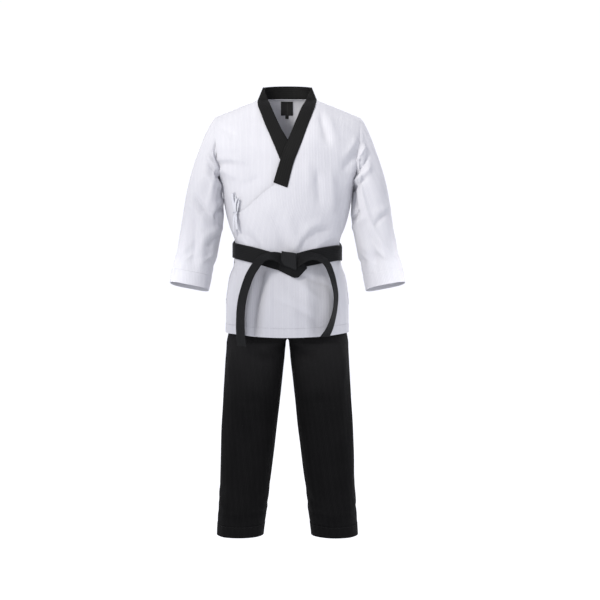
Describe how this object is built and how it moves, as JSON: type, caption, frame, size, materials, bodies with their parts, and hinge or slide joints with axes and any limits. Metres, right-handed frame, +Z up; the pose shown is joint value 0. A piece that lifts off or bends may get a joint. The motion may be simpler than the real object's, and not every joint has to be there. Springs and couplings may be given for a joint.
{
  "type": "martial arts uniform",
  "caption": "Wrap jacket with a black V collar and side tie, a knotted flat belt with two hanging tails, and loose straight trousers, shaped as worn.",
  "frame": {"origin": "middle of the neck, level with the neck ends of the shoulder seams, where the wearer's shoulders or a hanger hold the jacket up", "axes": "+Z up, -Y towards the front, +X towards the wearer's left"},
  "size_m": [0.7228, 0.3093, 1.402],
  "materials": {
    "white_cloth": "fine ribbed polycotton, matt white with a slightly cool cast",
    "white_tape": "narrow folded and stitched tape of the same white cloth",
    "black_collar": "smooth black drill with close rows of stitching",
    "black_belt": "stiff black cotton drill belt with parallel stitching along its length",
    "black_trouser": "black polycotton with a fine lengthwise rib",
    "label": "woven satin label, blank",
    "elastic": "woven elastic webbing"
  },
  "bodies": {
    "jacket": {"back_panel": "white_cloth", "front_over": "white_cloth", "front_under": "white_cloth", "collar_back": "black_collar", "collar_over": "black_collar", "collar_under": "black_collar", "neck_label": "label", "size_tab": "label", "side_tie_bow": "white_tape", "side_tie_ends": "white_tape", "inner_tie": "white_tape", "belt_inner_wrap": "black_belt", "belt_outer_wrap": "black_belt", "belt_knot": "black_belt", "belt_wing_left": "black_belt", "belt_wing_right": "black_belt", "belt_tail_left_upper": "black_belt", "belt_tail_right_upper": "black_belt"},
    "skirt_front": {"skirt_front_over": "white_cloth", "skirt_front_under": "white_cloth", "skirt_front_hem": "white_cloth"},
    "skirt_back": {"skirt_back": "white_cloth", "skirt_back_hem": "white_cloth"},
    "tail_left": {"belt_tail_left_lower": "black_belt"},
    "tail_right": {"belt_tail_right_lower": "black_belt"},
    "sleeve_left": {"sleeve_upper_left": "white_cloth"},
    "sleeve_right": {"sleeve_upper_right": "white_cloth"},
    "forearm_left": {"sleeve_lower_left": "white_cloth", "cuff_left": "white_cloth"},
    "forearm_right": {"sleeve_lower_right": "white_cloth", "cuff_right": "white_cloth"},
    "trousers": {"waistband": "black_trouser", "waist_elastic": "elastic", "seat_front_left": "black_trouser", "seat_front_right": "black_trouser", "seat_back_left": "black_trouser", "seat_back_right": "black_trouser"},
    "thigh_left": {"thigh_front_left": "black_trouser", "thigh_back_left": "black_trouser"},
    "thigh_right": {"thigh_front_right": "black_trouser", "thigh_back_right": "black_trouser"},
    "shin_left": {"shin_front_left": "black_trouser", "shin_back_left": "black_trouser", "leg_hem_left": "black_trouser"},
    "shin_right": {"shin_front_right": "black_trouser", "shin_back_right": "black_trouser", "leg_hem_right": "black_trouser"}
  },
  "joints": [
    {"name": "shoulder_left", "type": "hinge", "parent": "jacket", "child": "sleeve_left", "pos_m": [0.2245, 0, -0.052], "axis": [0, -1, 0], "range_deg": [0, 45]},
    {"name": "elbow_left", "type": "hinge", "parent": "sleeve_left", "child": "forearm_left", "pos_m": [0.258, -0.0585, -0.34], "axis": [-0.9816, 0, -0.1908], "range_deg": [0, 90], "stiffness_Nm_per_rad": 0.025, "springref_deg": -85.94},
    {"name": "shoulder_right", "type": "hinge", "parent": "jacket", "child": "sleeve_right", "pos_m": [-0.2245, 0, -0.052], "axis": [0, 1, 0], "range_deg": [0, 45]},
    {"name": "elbow_right", "type": "hinge", "parent": "sleeve_right", "child": "forearm_right", "pos_m": [-0.258, -0.0585, -0.34], "axis": [-0.9816, 0, 0.1908], "range_deg": [0, 90], "stiffness_Nm_per_rad": 0.025, "springref_deg": -85.94},
    {"name": "trousers_off", "type": "slide", "parent": "jacket", "child": "trousers", "axis": [0, 0, -1], "range_m": [0, 0.45]},
    {"name": "hip_left", "type": "hinge", "parent": "trousers", "child": "thigh_left", "pos_m": [0.096, -0.1055, -0.7475], "axis": [-1, 0, 0], "range_deg": [0, 70], "stiffness_Nm_per_rad": 0.2, "springref_deg": -85.94},
    {"name": "knee_left", "type": "hinge", "parent": "thigh_left", "child": "shin_left", "pos_m": [0.117, 0.0935, -0.9855], "axis": [1, 0, 0], "range_deg": [0, 90], "stiffness_Nm_per_rad": 0.09, "springref_deg": -85.94},
    {"name": "hip_right", "type": "hinge", "parent": "trousers", "child": "thigh_right", "pos_m": [-0.096, -0.1055, -0.7475], "axis": [-1, 0, 0], "range_deg": [0, 70], "stiffness_Nm_per_rad": 0.2, "springref_deg": -85.94},
    {"name": "knee_right", "type": "hinge", "parent": "thigh_right", "child": "shin_right", "pos_m": [-0.117, 0.0935, -0.9855], "axis": [1, 0, 0], "range_deg": [0, 90], "stiffness_Nm_per_rad": 0.09, "springref_deg": -85.94},
    {"name": "skirt_front_lift", "type": "hinge", "parent": "jacket", "child": "skirt_front", "pos_m": [0, -0.158, -0.56], "axis": [-1, 0, 0], "range_deg": [0, 40], "stiffness_Nm_per_rad": 0.06, "springref_deg": -85.94},
    {"name": "skirt_back_lift", "type": "hinge", "parent": "jacket", "child": "skirt_back", "pos_m": [0, 0.112, -0.4805], "axis": [1, 0, 0], "range_deg": [0, 40], "stiffness_Nm_per_rad": 0.025, "springref_deg": -85.94},
    {"name": "tail_left_swing", "type": "hinge", "parent": "skirt_front", "child": "tail_left", "pos_m": [0.142, -0.149, -0.563], "axis": [-1, 0, 0], "range_deg": [0, 60], "stiffness_Nm_per_rad": 0.001, "springref_deg": -85.94},
    {"name": "tail_right_swing", "type": "hinge", "parent": "skirt_front", "child": "tail_right", "pos_m": [-0.118, -0.1575, -0.563], "axis": [-1, 0, 0], "range_deg": [0, 60], "stiffness_Nm_per_rad": 0.001, "springref_deg": -85.94}
  ]
}
